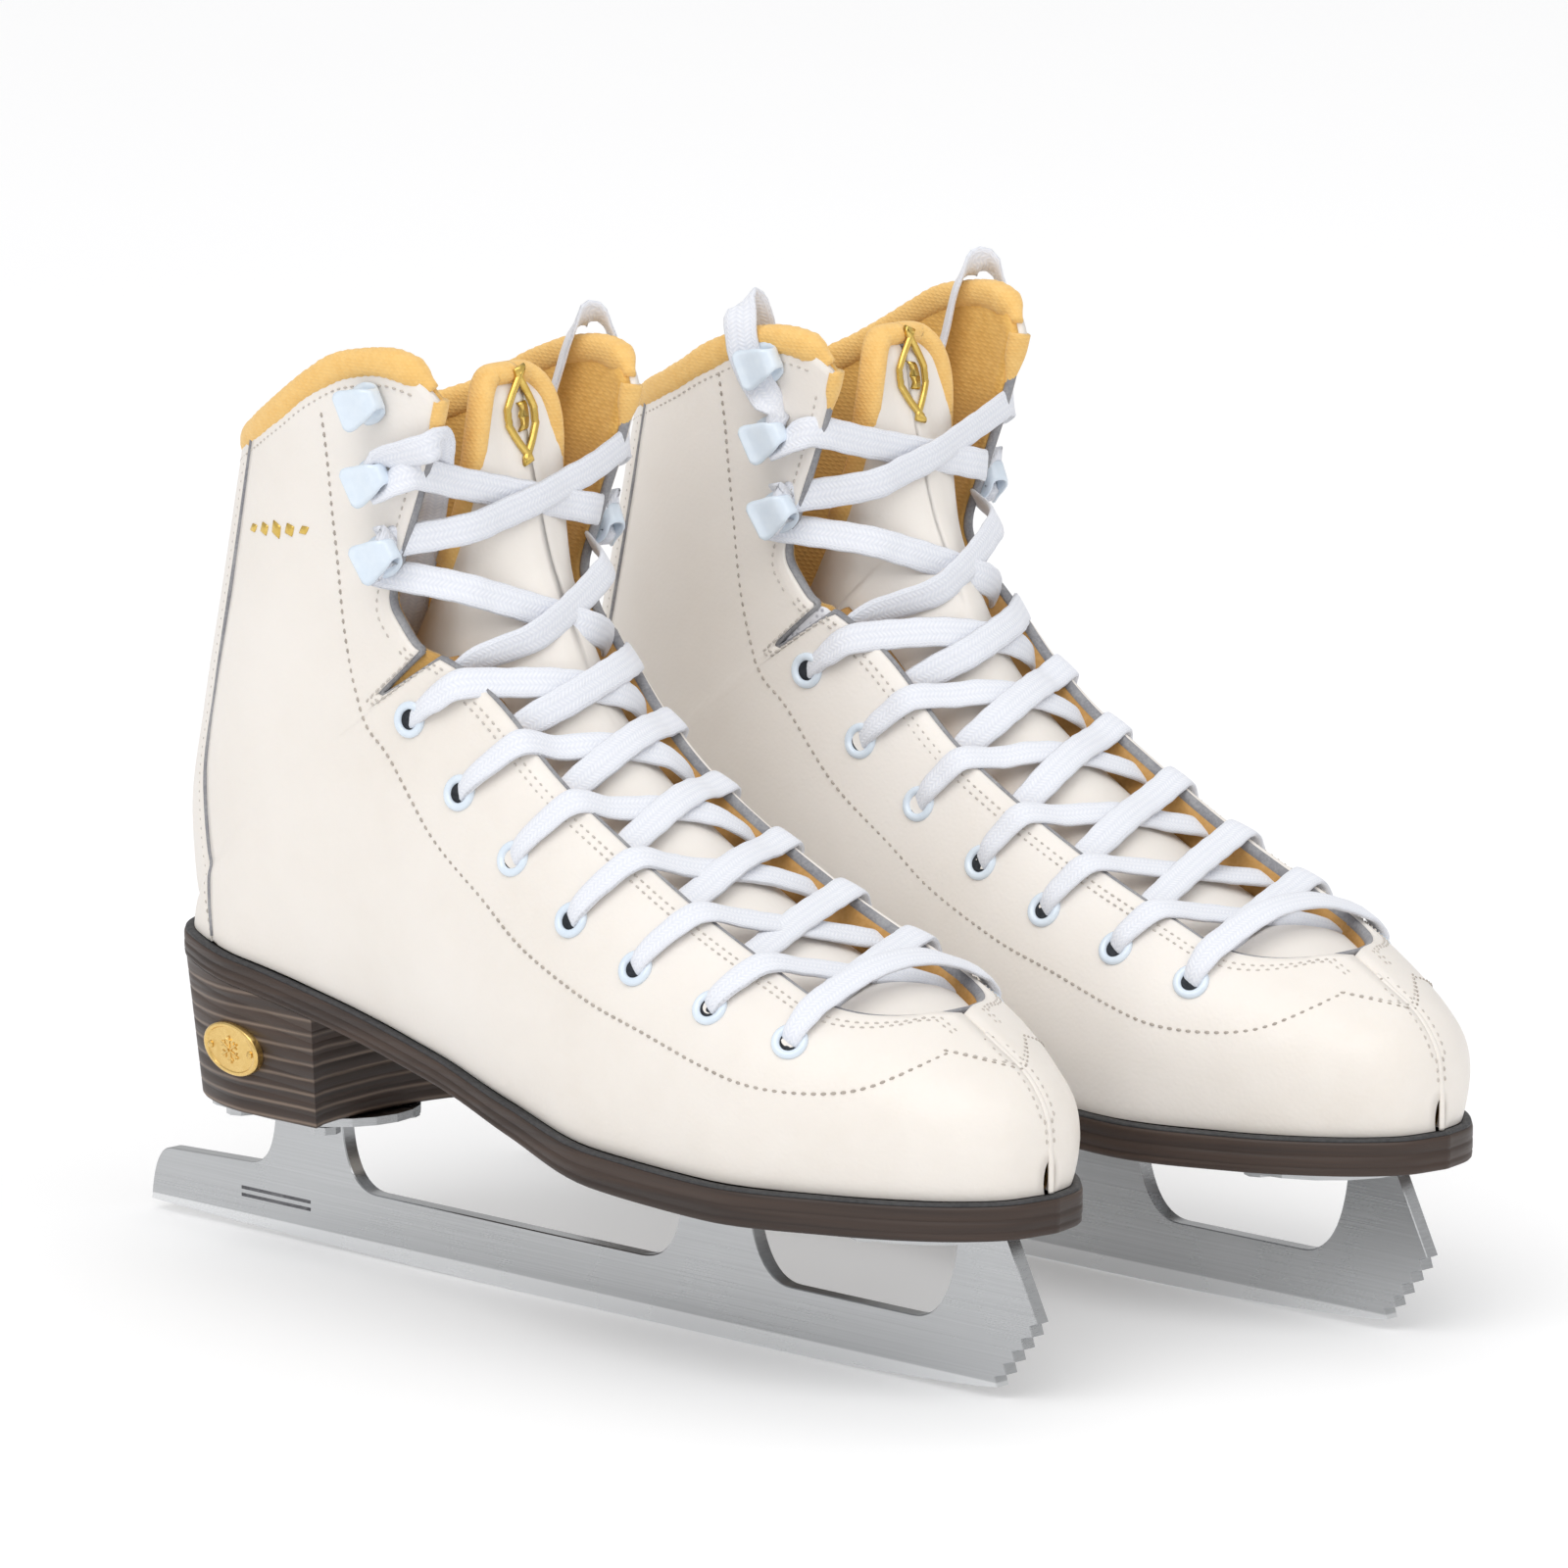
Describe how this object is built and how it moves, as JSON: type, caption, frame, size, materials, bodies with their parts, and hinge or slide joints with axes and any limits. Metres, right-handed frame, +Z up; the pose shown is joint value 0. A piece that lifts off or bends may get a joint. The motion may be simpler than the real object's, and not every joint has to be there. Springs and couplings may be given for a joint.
{
  "type": "pair of figure skates",
  "caption": "Pair of laced white leather figure skates with padded collars, speed hooks, stacked heels and steel blades with toe picks.",
  "frame": {"origin": "on the ice, under the middle of the pair's bounding box", "axes": "+X towards the toes, +Y from the right skate to the left one, +Z up"},
  "size_m": [0.3154, 0.1998, 0.2261],
  "materials": {
    "leather": "smooth warm white leather, satin",
    "lining": "orange-yellow microfibre",
    "binding": "soft padded collar cloth, pale orange",
    "insole": "covered foam",
    "lace": "flat woven, white",
    "white_metal": "white enamel over steel",
    "sole": "dark brown stacked sole, waxed",
    "steel": "satin ground steel",
    "brass": "satin"
  },
  "bodies": {
    "right_skate": {"right_blade": "steel", "right_toe_plate": "steel", "right_heel_plate": "steel", "right_outsole": "sole", "right_heel_block": "sole", "right_heel_badge": "brass", "right_insole": "insole", "right_quarter_outer": "leather", "right_quarter_inner": "leather", "right_back_stay": "leather", "right_lining": "lining", "right_tongue": "leather", "right_collar_binding": "binding", "right_lace": "lace", "right_toe_plate_screw_1": "steel", "right_toe_plate_screw_2": "steel", "right_toe_plate_screw_3": "steel", "right_toe_plate_screw_4": "steel", "right_heel_plate_screw_1": "steel", "right_heel_plate_screw_2": "steel", "right_heel_plate_screw_3": "steel", "right_heel_plate_screw_4": "steel", "right_hook_outer_1": "white_metal", "right_hook_outer_2": "white_metal", "right_hook_outer_3": "white_metal", "right_hook_inner_1": "white_metal", "right_hook_inner_2": "white_metal", "right_hook_inner_3": "white_metal"},
    "left_skate": {"left_blade": "steel", "left_toe_plate": "steel", "left_heel_plate": "steel", "left_outsole": "sole", "left_heel_block": "sole", "left_heel_badge": "brass", "left_insole": "insole", "left_quarter_outer": "leather", "left_quarter_inner": "leather", "left_back_stay": "leather", "left_lining": "lining", "left_tongue": "leather", "left_collar_binding": "binding", "left_lace": "lace", "left_toe_plate_screw_1": "steel", "left_toe_plate_screw_2": "steel", "left_toe_plate_screw_3": "steel", "left_toe_plate_screw_4": "steel", "left_heel_plate_screw_1": "steel", "left_heel_plate_screw_2": "steel", "left_heel_plate_screw_3": "steel", "left_heel_plate_screw_4": "steel", "left_hook_outer_1": "white_metal", "left_hook_outer_2": "white_metal", "left_hook_outer_3": "white_metal", "left_hook_inner_1": "white_metal", "left_hook_inner_2": "white_metal", "left_hook_inner_3": "white_metal"}
  },
  "joints": [
    {"name": "left_skate_slide", "type": "slide", "parent": "right_skate", "child": "left_skate", "axis": [0, 1, 0], "range_m": [0, 0.2]}
  ]
}
